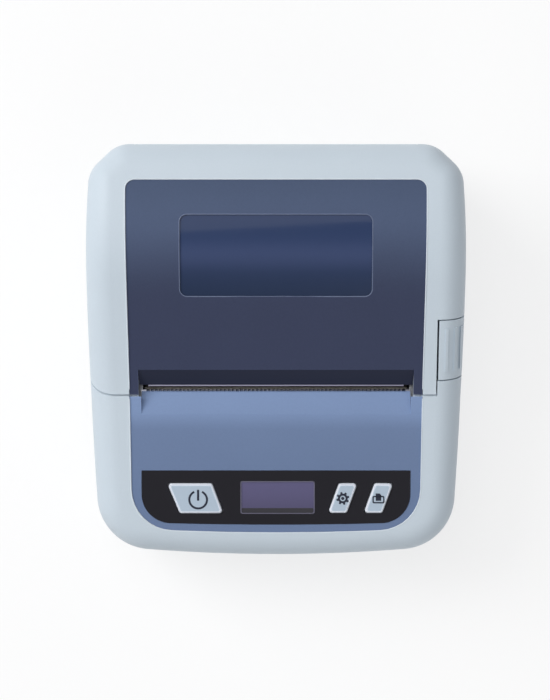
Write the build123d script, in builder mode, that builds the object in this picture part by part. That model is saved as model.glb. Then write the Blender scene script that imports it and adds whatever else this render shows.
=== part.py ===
from build123d import *
import os
from math import acos, atan2, cos, degrees, pi, radians, sin, sqrt, tan

os.makedirs("parts", exist_ok=True)

# Paper roll and its bay
paper_width = 80.0
roll_diameter = 46.0
roll_play = 1.5
bay_wall = 1.4
bay_side_play = 2.4
guide_thickness = 1.8
guide_travel = 11.0

# Case walls and rounding
wall = 2.6
foot_height = 0.8
side_room = 18.0
deck_margin = 15.9
slot_to_platen = 8.0
platen_to_bay = 8.1
hinge_room = 9.1
roof_play = 1.4
top_round = 8.0
bottom_round = 5.0
crest_round = 60.0
rear_slope = 9.0
panel_slope = 15.0
deck_slope = 6.4
corner_round = 17.0
rear_corner_round = 9.5
rear_chamfer = 8.5
split_z = 16.0
parting_z = 34.2
parting_gap = 0.6
piece_gap = 0.4
panel_recess = 0.3
panel_pocket = 1.2

# Hinge of the cover
hinge_inset = 4.7
barrel_radius = 3.9
groove_radius = 4.6
lug_radius = 2.2
hinge_pin_radius = 1.25
hinge_side = 15.0
hinge_drop = 8.0
lug_width = 4.3

# Drive train
gear_module = 0.8
platen_teeth = 14
idler_teeth = 20
motor_teeth = 10
guide_teeth = 12
gear_width = 3.2
backlash = 0.24
running_fit = 0.05
pressure_angle = radians(20)

# Platen and print head
platen_radius = 5.0
platen_drop = 7.9
shaft_radius = 2.0
head_tilt = 15.0
head_gap = 0.1
head_thickness = 0.8
sink_thickness = 4.0

# Release lever
latch_inset = 8.3
latch_half_length = 9.3
latch_pivot_depth = 21.0
latch_pivot_inset = 5.7
latch_pin_radius = 1.0

# Controls
fascia_side = 16.6
fascia_depth = 16.8
button_travel = 0.8
board_thickness = 1.6

# Battery and motor
battery_size = (68.0, 34.0, 17.0)
door_thickness = 1.6
frame_floor = 1.2
motor_length = 18.0
idler_pin_radius = 1.5
motor_shaft_radius = 1.2
head_pin_radius = 1.2
motor_lift = 2.7

# Window in the cover
window_size = (58.0, 24.5)
window_ledge = 2.0

bay_radius = roll_diameter / 2 + roll_play
floor_top = foot_height + wall
bay_z = floor_top + 0.2 + bay_radius + bay_wall
case_height = bay_z + bay_radius + roof_play + wall
half_width = paper_width / 2 + side_room
deck_length = battery_size[1] + deck_margin
half_length = (deck_length + slot_to_platen + platen_to_bay + 2 * (bay_radius + bay_wall) + hinge_room) / 2
rear_y = half_length
front_y = -half_length
slot_y = front_y + deck_length
platen_y = slot_y + slot_to_platen
hinge_height = case_height - hinge_drop
bay_y = platen_y + platen_to_bay + bay_radius + bay_wall
crest_y = bay_y + 6.0
hinge_y = rear_y - hinge_inset
bay_half_width = paper_width / 2 + bay_side_play
far = 2 * half_length
hinge_half_width = half_width - hinge_side
latch_inner_x = half_width - latch_inset
latch_pivot_x = half_width - latch_pivot_inset
fascia_half_width = half_width - fascia_side
door_half_width = battery_size[0] / 2

half_turn = (rear_slope + panel_slope) / 2
crest_lean = (panel_slope - rear_slope) / 2
apex_z = case_height - crest_round + crest_round * cos(radians(crest_lean)) / cos(radians(half_turn))
valley_z = apex_z - (crest_y - slot_y) * tan(radians(panel_slope))
platen_height = valley_z - platen_drop


def roof_z(y):
    """Height of the flat stretches of the roof at a place along the case."""
    if y > slot_y:
        return apex_z - (crest_y - y) * tan(radians(panel_slope))
    return valley_z - (slot_y - y) * tan(radians(deck_slope))


def span_block(x, y, z, mode=Mode.ADD):
    """A block between two values on each axis."""
    with Locations(((x[0] + x[1]) / 2, (y[0] + y[1]) / 2, (z[0] + z[1]) / 2)):
        Box(x[1] - x[0], y[1] - y[0], z[1] - z[0], mode=mode)


def plane_block(plane, x, y, z, mode=Mode.ADD):
    """A block between two values on each axis of a tilted plane."""
    with BuildSketch(plane.offset(z[0]), mode=Mode.PRIVATE) as face:
        with Locations(((x[0] + x[1]) / 2, (y[0] + y[1]) / 2)):
            Rectangle(x[1] - x[0], y[1] - y[0])
    extrude(face.sketch, amount=z[1] - z[0], mode=mode)


def plane_rod(plane, radius, x, y, z, mode=Mode.ADD):
    """A round rod along the normal of a tilted plane."""
    with BuildSketch(plane.offset(z[0]), mode=Mode.PRIVATE) as face:
        with Locations((x, y)):
            Circle(radius)
    extrude(face.sketch, amount=z[1] - z[0], mode=mode)


def cross_rod(radius, y, z, x, mode=Mode.ADD):
    """A round rod along X."""
    plane_rod(Plane.YZ, radius, y, z, x, mode)


def side_profile(points, x, mode=Mode.ADD):
    """A prism along X from points given as (y, z)."""
    with BuildSketch(Plane.YZ.offset(x[0]), mode=Mode.PRIVATE) as face:
        with BuildLine():
            Polyline(*points, close=True)
        make_face()
    extrude(face.sketch, amount=x[1] - x[0], mode=mode)


def upright(sketch, mode=Mode.ADD):
    """A prism of a plan outline from the parting up through the roof."""
    extrude(Pos(0, 0, parting_z - 4) * sketch, amount=case_height, mode=mode)


def case_plan(inset):
    """Plan outline of the case, drawn in evenly."""
    chamfer_x = half_width - rear_corner_round
    shoulder_y = rear_y - rear_chamfer
    with BuildSketch() as plan:
        with BuildLine():
            Polyline(
                (half_width - 0.8, shoulder_y),
                (chamfer_x, rear_y),
                (-chamfer_x, rear_y),
                (0.8 - half_width, shoulder_y),
            )
            for side in (1, -1):
                widest = (side * half_width, bay_y - 3)
                TangentArc(widest, (side * (half_width - 0.8), shoulder_y), tangent=(0, 1))
                TangentArc(widest, (side * (half_width - 3.2), front_y + 3), tangent=(0, -1))
            ThreePointArc((half_width - 3.2, front_y + 3), (0, front_y), (3.2 - half_width, front_y + 3))
        make_face()
        fillet(plan.vertices().group_by(Axis.Y)[0], corner_round)
        fillet(plan.vertices().group_by(Axis.Y)[-1], rear_corner_round)
        shoulders = plan.vertices().filter_by(lambda corner: abs(corner.Y - shoulder_y) < 0.01)
        fillet(shoulders, rear_corner_round)
        if inset:
            offset(amount=-inset)
    return plan.sketch


def case_side(inset):
    """Side outline of the case, drawn in evenly."""
    rear_end = apex_z - (far - crest_y) * tan(radians(rear_slope))
    front_end = valley_z - (far + slot_y) * tan(radians(deck_slope))
    with BuildSketch(Plane.YZ.offset(-far)) as side:
        with BuildLine():
            Polyline(
                (-far, foot_height),
                (far, foot_height),
                (far, rear_end),
                (crest_y, apex_z),
                (slot_y, valley_z),
                (-far, front_end),
                close=True,
            )
        make_face()
        fillet(side.vertices().sort_by_distance((crest_y, apex_z))[0], crest_round)
        fillet(side.vertices().sort_by_distance((slot_y, valley_z))[0], crest_round)
        if inset:
            offset(amount=-inset)
    return side.sketch


def rim(form, up):
    """Edges around the top or the bottom of a form."""
    edges = [edge for face in form.faces() if face.normal_at().Z * up > 0.5 for edge in face.edges()]
    return [edge for edge in edges if sum(edge.is_same(other) for other in edges) == 1]


def outer_form(inset):
    """The whole case as one rounded solid, drawn in evenly."""
    with BuildPart() as form:
        extrude(case_plan(inset), amount=2 * case_height)
        extrude(case_side(inset), amount=2 * far, mode=Mode.INTERSECT)
        fillet(rim(form.part, 1), top_round - inset)
        fillet(rim(form.part, -1), bottom_round - inset)
    return form.part


def opening_plan(shrink, from_y, to_y):
    """Plan outline of the dark top surface, between two places along the case."""
    half = half_width - 12.3
    with BuildSketch() as plan:
        with BuildLine():
            Polyline(
                (half - 1.1, front_y + 8.6),
                (half, rear_y - 11.4),
                (-half, rear_y - 11.4),
                (1.1 - half, front_y + 8.6),
            )
            ThreePointArc((1.1 - half, front_y + 8.6), (0, front_y + 7.3), (half - 1.1, front_y + 8.6))
        make_face()
        fillet(plan.vertices().group_by(Axis.Y)[-1], 3)
        fillet(plan.vertices().group_by(Axis.Y)[0], 13)
        if shrink:
            offset(amount=-shrink)
        with Locations((0, (from_y + to_y) / 2)):
            Rectangle(4 * half_width, to_y - from_y, mode=Mode.INTERSECT)
    return plan.sketch


def window_plan(shrink):
    """Plan outline of the window in the cover."""
    with BuildSketch() as plan:
        with Locations((0, bay_y + 0.55)):
            RectangleRounded(window_size[0] - 2 * shrink, window_size[1] - 2 * shrink, 2.2)
    return plan.sketch


def cover_zone(growth):
    """Everything on the cover's side of the parting between cover and case."""
    foot = (slot_y + 11, parting_z)
    with BuildPart() as zone:
        with BuildSketch(Plane.YZ.offset(-far)) as side:
            with BuildLine():
                Polyline(
                    (slot_y + 0.3, far),
                    (slot_y + 0.3, roof_z(slot_y) + 0.3),
                    foot,
                    (far, parting_z),
                    (far, far),
                    close=True,
                )
            make_face()
            fillet(side.vertices().sort_by_distance(foot)[0], 12)
            if growth:
                offset(amount=growth)
        extrude(amount=2 * far)
    return zone.part


def gear_outline(teeth, phase):
    """Outline of a stub-toothed involute gear with a tooth at the phase angle."""
    pitch = gear_module * teeth / 2
    base = pitch * cos(pressure_angle)
    root = pitch - 0.9 * gear_module
    tip = pitch + 0.6 * gear_module
    half = pi / (2 * teeth) - backlash / (2 * pitch) + tan(pressure_angle) - pressure_angle
    points = []
    for tooth in range(teeth):
        middle = phase + 2 * pi * tooth / teeth
        flank = []
        for radius in (root, max(base, root + 0.05), pitch, tip):
            angle = acos(min(1, base / radius))
            flank.append((radius, half - (tan(angle) - angle)))
        for radius, spread in flank:
            points.append((radius * cos(middle - spread), radius * sin(middle - spread)))
        for radius, spread in reversed(flank):
            points.append((radius * cos(middle + spread), radius * sin(middle + spread)))
    return points


def gear(plane, teeth, phase, x, y, z, bore):
    """A spur gear on a plane, with its bore."""
    with BuildSketch(plane.offset(z[0]), mode=Mode.PRIVATE) as face:
        with BuildLine():
            Polyline(*[(x + px, y + py) for px, py in gear_outline(teeth, phase)], close=True)
        make_face()
        with Locations((x, y)):
            Circle(bore, mode=Mode.SUBTRACT)
    extrude(face.sketch, amount=z[1] - z[0])


def coil(plane, radius, length, turns, wire):
    """A compression spring standing on a plane."""
    with BuildPart() as spring:
        with BuildLine() as path:
            Helix(pitch=length / turns, height=length, radius=radius)
        with BuildSketch(Plane(origin=path.line @ 0, z_dir=path.line % 0)) as section:
            Circle(wire)
        sweep(section.sketch, path=path.line)
    return plane.location * spring.part


case_outer = outer_form(0)
case_panel_top = outer_form(panel_recess)
case_panel_floor = outer_form(panel_pocket)
window_floor = outer_form(panel_pocket + 0.6)
window_top = outer_form(panel_pocket - 0.5)
case_inner = outer_form(wall)
liner_floor = outer_form(wall + 1.3)

recess_half = paper_width / 2 + 2.2
lip_rear_y = platen_y
lip_front_y = slot_y + 2.9
latch_plane = Plane(
    origin=(0, slot_y + 13.8, roof_z(slot_y + 13.8)),
    x_dir=(1, 0, 0),
    z_dir=(0, -sin(radians(panel_slope)), cos(radians(panel_slope))),
)
deck_mid_y = front_y + 18.1
deck_plane = Plane(
    origin=(0, deck_mid_y, roof_z(deck_mid_y)),
    x_dir=(1, 0, 0),
    z_dir=(0, -sin(radians(deck_slope)), cos(radians(deck_slope))),
)
head_plane = Plane(
    origin=(
        0,
        platen_y - (platen_radius + head_gap) * cos(radians(head_tilt)),
        platen_height - (platen_radius + head_gap) * sin(radians(head_tilt)),
    ),
    x_dir=(-1, 0, 0),
    z_dir=(0, cos(radians(head_tilt)), sin(radians(head_tilt))),
)
guide_plane = Plane(
    origin=(0, bay_y, bay_z),
    x_dir=(1, 0, 0),
    z_dir=(0, -sin(radians(45)), -cos(radians(45))),
)

# Gear centres: the idler lies straight against the way the cover carries the platen off
opening_run = sqrt((hinge_y - platen_y) ** 2 + (hinge_height - platen_height) ** 2)
opening_way = ((platen_height - hinge_height) / opening_run, (hinge_y - platen_y) / opening_run)
idler_reach = gear_module * (platen_teeth + idler_teeth) / 2
idler_y = platen_y - opening_way[0] * idler_reach
idler_z = platen_height - opening_way[1] * idler_reach
motor_way = radians(235)
motor_reach = gear_module * (idler_teeth + motor_teeth) / 2
motor_y = idler_y + motor_reach * cos(motor_way)
motor_z = idler_z + motor_reach * sin(motor_way)
idler_way = atan2(idler_z - platen_height, idler_y - platen_y)
idler_phase = idler_way + pi + pi / idler_teeth
phase_step = (motor_way - idler_phase) % (2 * pi / idler_teeth)
motor_phase = motor_way + pi + phase_step * idler_teeth / motor_teeth + pi / motor_teeth

plate_inner = paper_width / 2 + 1.3
plate_outer = plate_inner + 1.2
arm_inner = plate_outer + 0.6
arm_outer = arm_inner + 2.0
gear_inner = arm_outer + 0.5
gear_outer = gear_inner + gear_width
head_half = paper_width / 2 + 0.6

# Fixed case

screw_spots = [(side * (half_width - 14), front_y + 9.5) for side in (1, -1)]
screw_spots += [(side * (half_width - 8.5), rear_y - 18) for side in (1, -1)]
foot_spots = [(x, y) for x in (14 - half_width, half_width - 14) for y in (front_y + 20, rear_y - 30)]
boss_radius = 3.2
screw_radius = 1.1
screw_head_radius = 2.1
foot_radius = 5.0
door_rear_y = front_y + 5 + battery_size[1] + 1.2
door_top = foot_height + door_thickness
on_floor = (Align.CENTER, Align.CENTER, Align.MIN)

with BuildPart() as bottom_case:
    add(case_outer)
    add(case_inner, mode=Mode.SUBTRACT)
    span_block((-far, far), (-far, far), (split_z, 2 * case_height), Mode.SUBTRACT)
    with Locations(*[(x, y, foot_height + 1) for x, y in screw_spots]):
        Cylinder(boss_radius, split_z - foot_height - 1, align=on_floor)
    with Locations(*[(x, y, foot_height) for x, y in screw_spots]):
        Cylinder(screw_radius, split_z, align=on_floor, mode=Mode.SUBTRACT)
        Cylinder(screw_head_radius + 0.2, 5, align=on_floor, mode=Mode.SUBTRACT)
    door_slot = (-door_half_width - 0.2, door_half_width + 0.2)
    span_block(door_slot, (-far, door_rear_y + 0.3), (foot_height + 0.6, door_top + 0.2), Mode.SUBTRACT)
    door_slot = (-door_half_width + 0.8, door_half_width - 0.8)
    span_block(door_slot, (-far, door_rear_y + 0.3), (0, door_top), Mode.SUBTRACT)
    battery_hole = (-battery_size[0] / 2 + 2, battery_size[0] / 2 - 2)
    span_block(battery_hole, (front_y + 7, door_rear_y - 3), (0, floor_top + 1), Mode.SUBTRACT)
    with Locations(*[(x, y, foot_height) for x, y in foot_spots]):
        Cylinder(foot_radius + 0.1, 0.6, align=on_floor, mode=Mode.SUBTRACT)
bottom_case.part.label = "bottom_case"

with BuildPart() as rubber_feet:
    with Locations(*[(x, y, 0) for x, y in foot_spots]):
        Cylinder(foot_radius, foot_height + 0.6, align=on_floor)
    chamfer(rubber_feet.edges().group_by(Axis.Z)[0], 0.4)
rubber_feet.part.label = "rubber_feet"

with BuildPart() as case_screws:
    with Locations(*[(x, y, foot_height + 3.4) for x, y in screw_spots]):
        Cylinder(screw_head_radius, 1.6, align=on_floor)
    with Locations(*[(x, y, foot_height + 5) for x, y in screw_spots]):
        Cylinder(screw_radius, split_z - foot_height - 1, align=on_floor)
    with Locations(*[(x, y, foot_height + 3.4) for x, y in screw_spots]):
        Box(2.6, 0.6, 0.8, align=on_floor, mode=Mode.SUBTRACT)
        Box(0.6, 2.6, 0.8, align=on_floor, mode=Mode.SUBTRACT)
case_screws.part.label = "case_screws"

with BuildPart() as battery_door:
    add(case_outer)
    door_tongue = (-door_half_width, door_half_width)
    span_block(door_tongue, (-far, door_rear_y), (foot_height, door_top), Mode.INTERSECT)
    for side in (-1, 1):
        edge = sorted((side * (door_half_width - 1), side * far))
        span_block(edge, (-far, far), (0, foot_height + 0.8), Mode.SUBTRACT)
    for rib in range(5):
        rib_y = front_y + 12 + 2 * rib
        span_block((-9, 9), (rib_y, rib_y + 1), (0, foot_height + 0.5), Mode.SUBTRACT)
battery_door.part.label = "battery_door"

battery_y = front_y + 5.6 + battery_size[1] / 2
battery_z = floor_top + 0.2

with BuildPart() as battery_pack:
    with Locations((0, battery_y, battery_z)):
        Box(*battery_size, align=on_floor)
    fillet(battery_pack.edges().filter_by(Axis.Z), 2)
    contact_y = battery_y + battery_size[1] / 2
    for contact in range(4):
        slot_x = -9 + 6 * contact
        span_block((slot_x, slot_x + 2.4), (contact_y - 1, far), (battery_z + 9, far), Mode.SUBTRACT)
battery_pack.part.label = "battery_pack"

fascia_rear = 8.6
fascia_front = fascia_rear - fascia_depth
button_shapes = {
    "power_button": ((-33.5, 4.7), (-19.7, 4.7), (-16.3, -4.6), (-29.7, -4.6)),
    "settings_button": ((19.4, 4.7), (25.1, 4.7), (21.8, -4.5), (16.1, -4.5)),
    "feed_button": ((30.4, 4.7), (36.1, 4.7), (32.8, -4.5), (27.1, -4.5)),
}
button_corner = 0.9
display_x = (-10.9, 11.9)
display_y = (-4.8, 5.3)
board_depth = 7.0


def button_plan(name, growth):
    """Outline of a slanted button on the deck."""
    with BuildSketch(deck_plane) as face:
        with BuildLine():
            Polyline(*button_shapes[name], close=True)
        make_face()
        if growth:
            offset(amount=growth, kind=Kind.INTERSECTION)
        fillet(face.vertices(), button_corner)
    return face.sketch


def fascia_plan(growth):
    """Outline of the glossy control strip on the deck."""
    half, low = fascia_half_width, fascia_front + 0.7
    with BuildSketch(deck_plane) as face:
        with BuildLine():
            Polyline((half, low), (half, fascia_rear), (-half, fascia_rear), (-half, low))
            ThreePointArc((-half, low), (0, fascia_front), (half, low))
        make_face()
        fillet(face.vertices().group_by(Axis.Y)[0], 9)
        if growth:
            offset(amount=growth)
    return face.sketch


def deck_prism(sketch, z, mode=Mode.ADD):
    """A prism of a deck outline between two heights from the deck's surface."""
    step = deck_plane.z_dir * z[0]
    extrude(Pos(step.X, step.Y, step.Z) * sketch, amount=z[1] - z[0], dir=deck_plane.z_dir, mode=mode)


lever_floor_z = parting_z - parting_gap
lever_room_x = (latch_inner_x - 0.2, far)

with BuildPart() as lever_room:
    lever_room_y = (-latch_half_length - piece_gap, latch_half_length + 3)
    plane_block(latch_plane, lever_room_x, lever_room_y, (-far, far))
    span_block((0, far), (-far, far), (lever_floor_z, far), Mode.INTERSECT)

with BuildPart() as open_zone:
    add(cover_zone(parting_gap))
    fixed_end = (-far, -latch_half_length - piece_gap)
    plane_block(latch_plane, lever_room_x, fixed_end, (-far, far), Mode.SUBTRACT)
    add(lever_room.part)

with BuildPart() as screw_posts:
    with Locations(*[(x, y, split_z) for x, y in screw_spots]):
        Cylinder(boss_radius, 6, align=on_floor)
    for x, y in screw_spots:
        web_x = sorted((x, half_width if x > 0 else -half_width))
        span_block(web_x, (y - 0.8, y + 0.8), (split_z, split_z + 6))
    add(case_panel_floor, mode=Mode.INTERSECT)
    with Locations(*[(x, y, split_z) for x, y in screw_spots]):
        Cylinder(screw_radius, 5, align=on_floor, mode=Mode.SUBTRACT)

with BuildPart() as hinge_block:
    add(case_outer)
    block_z = (parting_z - 3, hinge_height - 2.2)
    span_block((-hinge_half_width, hinge_half_width), (hinge_y - 3.7, far), block_z, Mode.INTERSECT)
    cross_rod(groove_radius, hinge_y, hinge_height, (-far, far), Mode.SUBTRACT)

with BuildPart() as deck_pocket:
    upright(opening_plan(0, -far, slot_y + 1))
    add(case_panel_floor, mode=Mode.SUBTRACT)

# Socket and pocket on the left for the charging port and its flap
flap_y = (front_y + 17, front_y + 33)
flap_z = (19.0, 29.0)
flap_thickness = 1.5
knuckle_radius = 1.2
flap_pin_y = flap_y[1]
flap_pin_x = knuckle_radius + 1.1 - half_width
flap_mid_z = (flap_z[0] + flap_z[1]) / 2
flap_height = flap_z[1] - flap_z[0]
port_y = (flap_y[0] + flap_y[1]) / 2 - 1
port_z = 25.6
port_size = (9.0, 3.2)
flap_floor = outer_form(flap_thickness)
port_inner_x = 10.5 - half_width


def port_span(inset):
    """Extent of the charging socket along Y and Z, drawn in evenly."""
    half_y, half_z = port_size[0] / 2 - inset, port_size[1] / 2 - inset
    return (port_y - half_y, port_y + half_y), (port_z - half_z, port_z + half_z)


with BuildPart() as flap_pocket:
    span_block((-far, 0), (flap_y[0] - 0.2, flap_y[1]), (flap_z[0] - 0.2, flap_z[1] + 0.2))
    add(flap_floor, mode=Mode.SUBTRACT)
    with Locations((flap_pin_x, flap_pin_y, flap_mid_z)):
        Cylinder(knuckle_radius + 0.4, flap_height + 0.4)

ear_top = 2.9 - latch_pivot_depth
pin_end = latch_plane.from_local_coords((latch_pivot_x, -8.3, -latch_pivot_depth))
latch_pin_plane = Plane(origin=pin_end, x_dir=(1, 0, 0), z_dir=latch_plane.y_dir)

with BuildPart() as middle_case:
    add(case_outer)
    add(case_inner, mode=Mode.SUBTRACT)
    span_block((-far, far), (-far, far), (-1, split_z), Mode.SUBTRACT)
    add(open_zone.part, mode=Mode.SUBTRACT)
    add(hinge_block.part)
    for side in (-1, 1):
        span = sorted((side * (hinge_half_width - lug_width), side * hinge_half_width))
        cross_rod(lug_radius, hinge_y, hinge_height, span)
        neck = [
            (hinge_y, hinge_height),
            (hinge_y - lug_radius, hinge_height),
            (hinge_y - 3.7, hinge_height - 3),
            (hinge_y - 3.7, hinge_height - 8),
            (hinge_y, hinge_height - 8),
        ]
        side_profile(neck, span)
        cross_rod(hinge_pin_radius, hinge_y, hinge_height, span, Mode.SUBTRACT)
    add(deck_pocket.part, mode=Mode.SUBTRACT)
    slot_gap = (slot_y - 7, slot_y + 5)
    span_block((-recess_half, recess_half), slot_gap, (parting_z, 2 * case_height), Mode.SUBTRACT)
    for name in button_shapes:
        deck_prism(button_plan(name, 0.35), (-8, 2), Mode.SUBTRACT)
    plane_block(deck_plane, display_x, display_y, (-8, 2), Mode.SUBTRACT)
    ear_x = (latch_inner_x + 0.2, half_width - wall + 0.4)
    for side in (-1, 1):
        span = sorted((side * 6.3, side * 8.3))
        plane_block(latch_plane, ear_x, span, (ear_top - 5.6, ear_top))
    plane_rod(latch_pin_plane, latch_pin_radius, 0, 0, (-1, 18), Mode.SUBTRACT)
    add(screw_posts.part)
    add(flap_pocket.part, mode=Mode.SUBTRACT)
    span_block((-far, 8 - half_width), *port_span(-0.1), Mode.SUBTRACT)
middle_case.part.label = "middle_case"

with BuildPart() as port_flap:
    span_block((-far, 0), (flap_y[0], flap_y[1]), flap_z)
    add(case_outer, mode=Mode.INTERSECT)
    add(flap_floor, mode=Mode.SUBTRACT)
    span_block((-far, far), (flap_pin_y - 1, far), (0, far), Mode.SUBTRACT)
    with Locations((flap_pin_x, flap_pin_y, flap_mid_z)):
        Cylinder(knuckle_radius, flap_height)
        Cylinder(0.5 + running_fit, flap_height, mode=Mode.SUBTRACT)
port_flap.part.label = "port_flap"

with BuildPart() as flap_pin:
    with Locations((flap_pin_x, flap_pin_y, flap_mid_z)):
        Cylinder(0.5, flap_height + 0.4)
flap_pin.part.label = "flap_pin"

with BuildPart() as usb_port:
    span_block((flap_thickness + 0.8 - half_width, port_inner_x), *port_span(0))
    fillet(usb_port.edges().filter_by(Axis.X), 1.2)
    span_block((-far, port_inner_x - 1), *port_span(0.4), Mode.SUBTRACT)
    span_block((-far, port_inner_x - 1), (port_y - 3.2, port_y + 3.2), (port_z - 0.35, port_z + 0.35))
    span_block((-far, flap_thickness + 2.6 - half_width), (-far, far), (0, far), Mode.SUBTRACT)
usb_port.part.label = "usb_port"

with BuildPart() as front_deck:
    upright(opening_plan(0.12, -far, slot_y - parting_gap + 0.3))
    add(case_panel_top, mode=Mode.INTERSECT)
    add(case_panel_floor, mode=Mode.SUBTRACT)
    ramp_half = recess_half - 0.8
    span_block((-ramp_half, ramp_half), (slot_y - 5.7, far), (0, 2 * case_height), Mode.SUBTRACT)
    ramp = [
        (slot_y - 5.7, roof_z(slot_y - 5.7) - panel_recess),
        (slot_y + 1.3, valley_z - 3.3),
        (slot_y + 0.7, valley_z - 5.9),
        (slot_y - 5.7, valley_z - 4.5),
    ]
    side_profile(ramp, (-ramp_half, ramp_half))
    deck_prism(fascia_plan(0.1), (-6, 3), Mode.SUBTRACT)
front_deck.part.label = "front_deck"

with BuildPart() as control_fascia:
    deck_prism(fascia_plan(0), (-panel_pocket, -0.1))
    for name in button_shapes:
        deck_prism(button_plan(name, 0.25), (-8, 2), Mode.SUBTRACT)
    plane_block(deck_plane, display_x, display_y, (-8, 2), Mode.SUBTRACT)
control_fascia.part.label = "control_fascia"

with BuildPart() as display_lens:
    lens_x = (display_x[0] + 0.1, display_x[1] - 0.1)
    lens_y = (display_y[0] + 0.1, display_y[1] - 0.1)
    plane_block(deck_plane, lens_x, lens_y, (-1.4, -0.3))
display_lens.part.label = "display_lens"

with BuildPart() as display_module:
    plane_block(deck_plane, lens_x, lens_y, (-board_depth, -1.4))
display_module.part.label = "display_module"

buttons = []
for name in button_shapes:
    with BuildPart() as button:
        deck_prism(button_plan(name, 0), (-4.4, 0.55))
        crown = button.faces().sort_by(lambda face: face.center().dot(deck_plane.z_dir))[-1]
        chamfer(crown.edges(), 0.35)
        deck_prism(button_plan(name, 0.9), (-4.4, -3.4))
    button.part.label = name
    buttons.append(button)

with BuildPart() as button_board:
    board_x = (2 - fascia_half_width, fascia_half_width - 2)
    board_y = (fascia_front + 1, fascia_rear)
    plane_block(deck_plane, board_x, board_y, (-board_depth - board_thickness, -board_depth))
button_board.part.label = "button_board"

with BuildPart() as button_switches:
    for name, corners in button_shapes.items():
        mid_x = sum(x for x, y in corners) / 4
        plane_block(deck_plane, (mid_x - 2, mid_x + 2), (-2, 2), (-board_depth, -5.9))
        plane_rod(deck_plane, 1, mid_x, 0, (-5.9, -4.4 - button_travel - 0.1))
button_switches.part.label = "button_switches"

board_z = battery_z + battery_size[2] + 1.6

with BuildPart() as main_board:
    main_board_y = (front_y + 12, slot_y - 12)
    span_block((8.5 - half_width, half_width - 14), main_board_y, (board_z, board_z + board_thickness))
    with Locations(*[(x, y, board_z) for x, y in screw_spots[:2]]):
        Cylinder(boss_radius + 0.5, board_thickness, align=on_floor, mode=Mode.SUBTRACT)
main_board.part.label = "main_board"

board_top = board_z + board_thickness

with BuildPart() as board_parts:
    for x, y, width, depth, height in (
        (-12, front_y + 26, 14, 14, 1.4),
        (14, front_y + 24, 9, 9, 1.2),
        (26, front_y + 18, 12, 8, 2.4),
        (-30, front_y + 14, 10, 6, 3.0),
        (34, front_y + 30, 6, 6, 4.0),
    ):
        with Locations((x, y, board_top)):
            Box(width, depth, height, align=on_floor)
    with Locations((4, front_y + 12, board_top), (12, front_y + 12, board_top)):
        Cylinder(2.4, 5, align=on_floor)
board_parts.part.label = "board_parts"

with BuildPart() as battery_contacts:
    for contact in range(4):
        slot_x = -9 + 6 * contact
        blade_y = (contact_y - 0.8, contact_y + 0.4)
        span_block((slot_x + 0.2, slot_x + 2.2), blade_y, (battery_z + 9.5, board_z))
battery_contacts.part.label = "battery_contacts"

# Print mechanism

opening_angle = atan2(opening_way[1], opening_way[0])
frame_y = (slot_y - 8, platen_y + 6.8)

with BuildPart() as mechanism_frame:
    with BuildSketch(Plane.YZ.offset(-plate_outer)) as plates:
        with Locations((sum(frame_y) / 2, (floor_top + platen_height + 1.5) / 2)):
            Rectangle(frame_y[1] - frame_y[0], platen_height + 1.5 - floor_top)
        with Locations((platen_y, platen_height)):
            Circle(shaft_radius + 0.8, mode=Mode.SUBTRACT)
        with Locations(Location((platen_y, platen_height, 0), degrees(opening_angle))):
            Rectangle(12, 2 * shaft_radius + 1.6, align=(Align.MIN, Align.CENTER), mode=Mode.SUBTRACT)
        fillet(plates.vertices().sort_by(Axis.Y)[-4:], 0.6)
    extrude(amount=2 * plate_outer)
    above_floor = (floor_top + frame_floor, 2 * case_height)
    span_block((-plate_inner, plate_inner), (-far, far), above_floor, Mode.SUBTRACT)
    plane_block(head_plane, (-plate_inner, plate_inner), (-9, 0.5), (-11, -9.8))
    for side in (-1, 1):
        plane_rod(head_plane, 1.6, side * 20, -3, (-9.8, -9))
    cross_rod(idler_pin_radius, idler_y, idler_z, (-far, 0), Mode.SUBTRACT)
    cross_rod(motor_shaft_radius + 0.6, motor_y, motor_z, (-far, 0), Mode.SUBTRACT)
    head_pin_at = head_plane.from_local_coords((0, -7.3, -head_thickness - 2.2))
    cross_rod(head_pin_radius, head_pin_at.Y, head_pin_at.Z, (-far, far), Mode.SUBTRACT)
mechanism_frame.part.label = "mechanism_frame"

with BuildPart() as print_head:
    plane_block(head_plane, (-head_half, head_half), (-6, 2.4), (-head_thickness, 0))
print_head.part.label = "print_head"

with BuildPart() as head_heat_sink:
    sink_z = (-head_thickness - sink_thickness, -head_thickness)
    plane_block(head_plane, (-head_half, head_half), (-8.6, 2.4), sink_z)
    groove_z = (-head_thickness - sink_thickness, -head_thickness - 2.4)
    for groove in range(4):
        groove_y = (0.9 - 1.6 * groove - 0.8, 0.9 - 1.6 * groove)
        plane_block(head_plane, (-head_half, head_half), groove_y, groove_z, Mode.SUBTRACT)
    for side in (-1, 1):
        plane_rod(head_plane, 2.6, side * 20, -3, (-head_thickness - sink_thickness, -head_thickness - 1))
    cross_rod(head_pin_radius + running_fit, head_pin_at.Y, head_pin_at.Z, (-far, far), Mode.SUBTRACT)
head_heat_sink.part.label = "head_heat_sink"

with BuildPart() as head_pin:
    cross_rod(head_pin_radius, head_pin_at.Y, head_pin_at.Z, (-plate_outer, plate_outer))
head_pin.part.label = "head_pin"

spring_length = 9.8 - head_thickness - sink_thickness - 1.0
with BuildPart() as head_springs:
    for side in (-1, 1):
        spring_foot = head_plane.from_local_coords((side * 20, -3, -9.5))
        add(coil(Plane(origin=spring_foot, z_dir=head_plane.z_dir), 2.1, spring_length, 4, 0.28))
head_springs.part.label = "head_springs"

bar_plane = Plane(
    origin=(0, slot_y + 0.7, valley_z - 5.9),
    x_dir=(-1, 0, 0),
    z_dir=(0, cos(radians(13)), -sin(radians(13))),
)

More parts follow.
